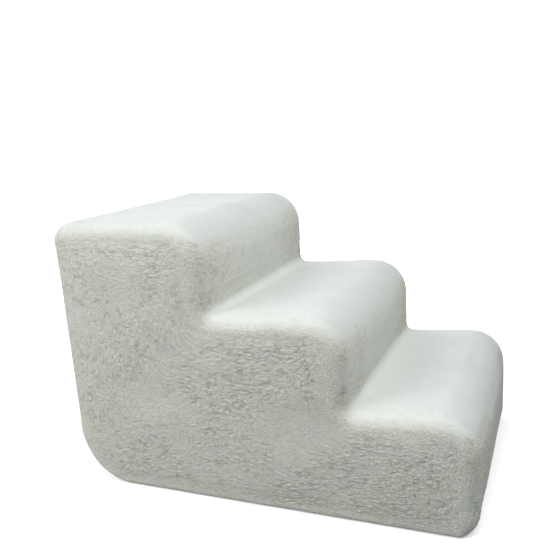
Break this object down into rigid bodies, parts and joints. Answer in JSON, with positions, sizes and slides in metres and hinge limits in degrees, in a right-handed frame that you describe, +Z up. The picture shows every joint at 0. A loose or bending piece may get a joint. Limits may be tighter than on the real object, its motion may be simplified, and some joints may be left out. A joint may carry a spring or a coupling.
{
  "type": "pet stairs",
  "caption": "Foam pet stairs with rounded treads in a removable white fleece cover, closed by a zip round a flap on the back.",
  "frame": {"origin": "middle of the footprint on the floor", "axes": "+Z up, +X towards the foot of the stairs (the lowest step), -Y is the left side as one climbs"},
  "size_m": [0.614, 0.397, 0.405],
  "materials": {
    "foam": "open-cell polyurethane foam, cut faces",
    "side_fleece": "curly white lambswool-style fleece, clumped pile",
    "tread_fleece": "short white plush fleece, pile laid flat",
    "base_cloth": "woven cloth with non-slip dots",
    "zip_tape": "woven polyester tape",
    "zip_teeth": "moulded acetal teeth",
    "zip_metal": "nickel-plated, satin"
  },
  "bodies": {
    "stairs": {"foam_base_slab": "foam", "foam_middle_slab": "foam", "foam_top_slab": "foam", "left_side_panel": "side_fleece", "right_side_panel": "side_fleece", "lower_step_strip": "tread_fleece", "middle_step_strip": "tread_fleece", "upper_step_strip": "tread_fleece", "back_flap": "side_fleece", "back_border_left": "side_fleece", "back_border_right": "side_fleece", "back_border_bottom": "side_fleece", "base_panel": "base_cloth", "zip_tape_flap": "zip_tape", "zip_tape_border": "zip_tape", "zip_teeth_flap": "zip_teeth", "zip_teeth_border": "zip_teeth", "zip_top_stops": "zip_metal", "zip_bottom_stop": "zip_metal"},
    "slider": {"zip_slider": "zip_metal"},
    "pull": {"zip_pull": "zip_metal"}
  },
  "joints": [
    {"name": "zip_slide", "type": "slide", "parent": "stairs", "child": "slider", "axis": [0, 0, -1], "range_m": [0, 0.202]},
    {"name": "pull_swing", "type": "hinge", "parent": "slider", "child": "pull", "pos_m": [-0.3049, 0.1485, 0.35568], "axis": [0, 1, 0], "range_deg": [0, 175]}
  ]
}
